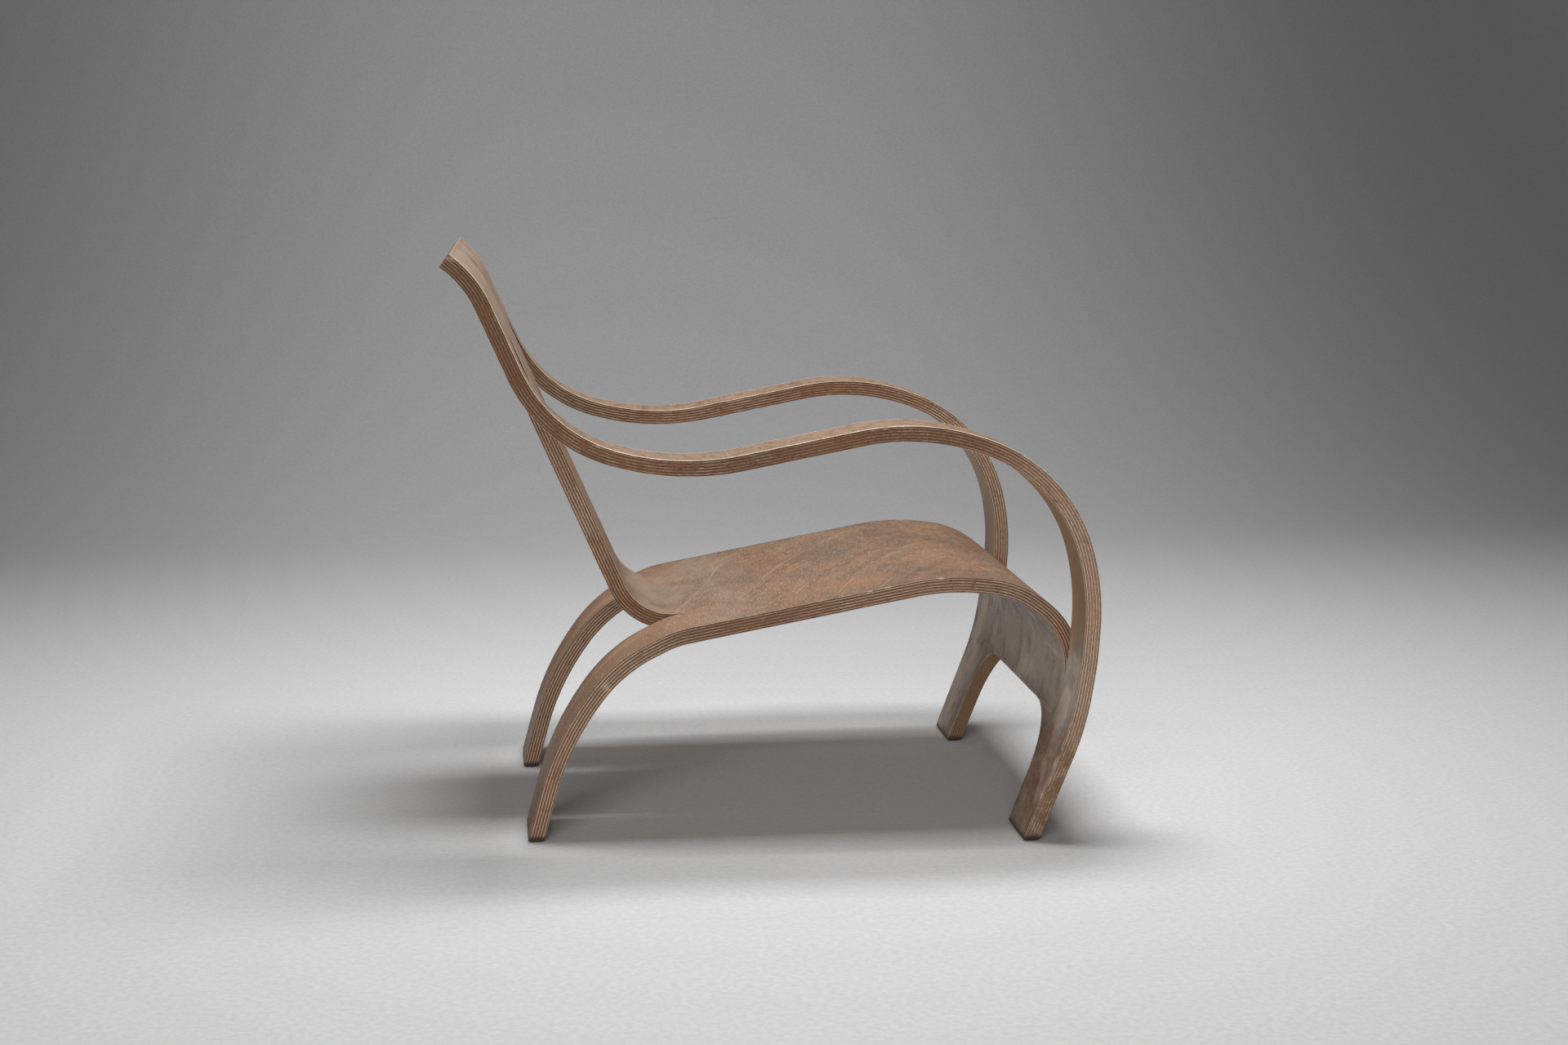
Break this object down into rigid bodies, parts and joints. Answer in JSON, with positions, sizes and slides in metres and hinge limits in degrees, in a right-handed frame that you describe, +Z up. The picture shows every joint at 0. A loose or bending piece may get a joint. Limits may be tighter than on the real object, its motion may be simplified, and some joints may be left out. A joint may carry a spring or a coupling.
{
  "type": "lounge chair",
  "caption": "Bare lounge chair bent from one slit sheet of plywood, with open looped arms that run into the front legs and a tongue that makes the back and seat",
  "frame": {"origin": "on the floor, at the middle of the chair's outline in plan", "axes": "+X points to the front of the chair, +Y to the sitter's left, +Z up"},
  "size_m": [0.804, 0.622, 0.7384],
  "materials": {
    "face_veneer": "worn satin lacquer",
    "dark_ply": "stained end grain",
    "light_ply": "bare edge grain"
  },
  "bodies": {
    "root": {"upper_face_veneer": "face_veneer", "cross_ply_02": "light_ply", "long_ply_03": "dark_ply", "cross_ply_04": "light_ply", "long_ply_05": "dark_ply", "core_ply_06": "light_ply", "long_ply_07": "dark_ply", "cross_ply_08": "light_ply", "long_ply_09": "dark_ply", "cross_ply_10": "light_ply", "under_face_veneer": "face_veneer"}
  },
  "joints": []
}
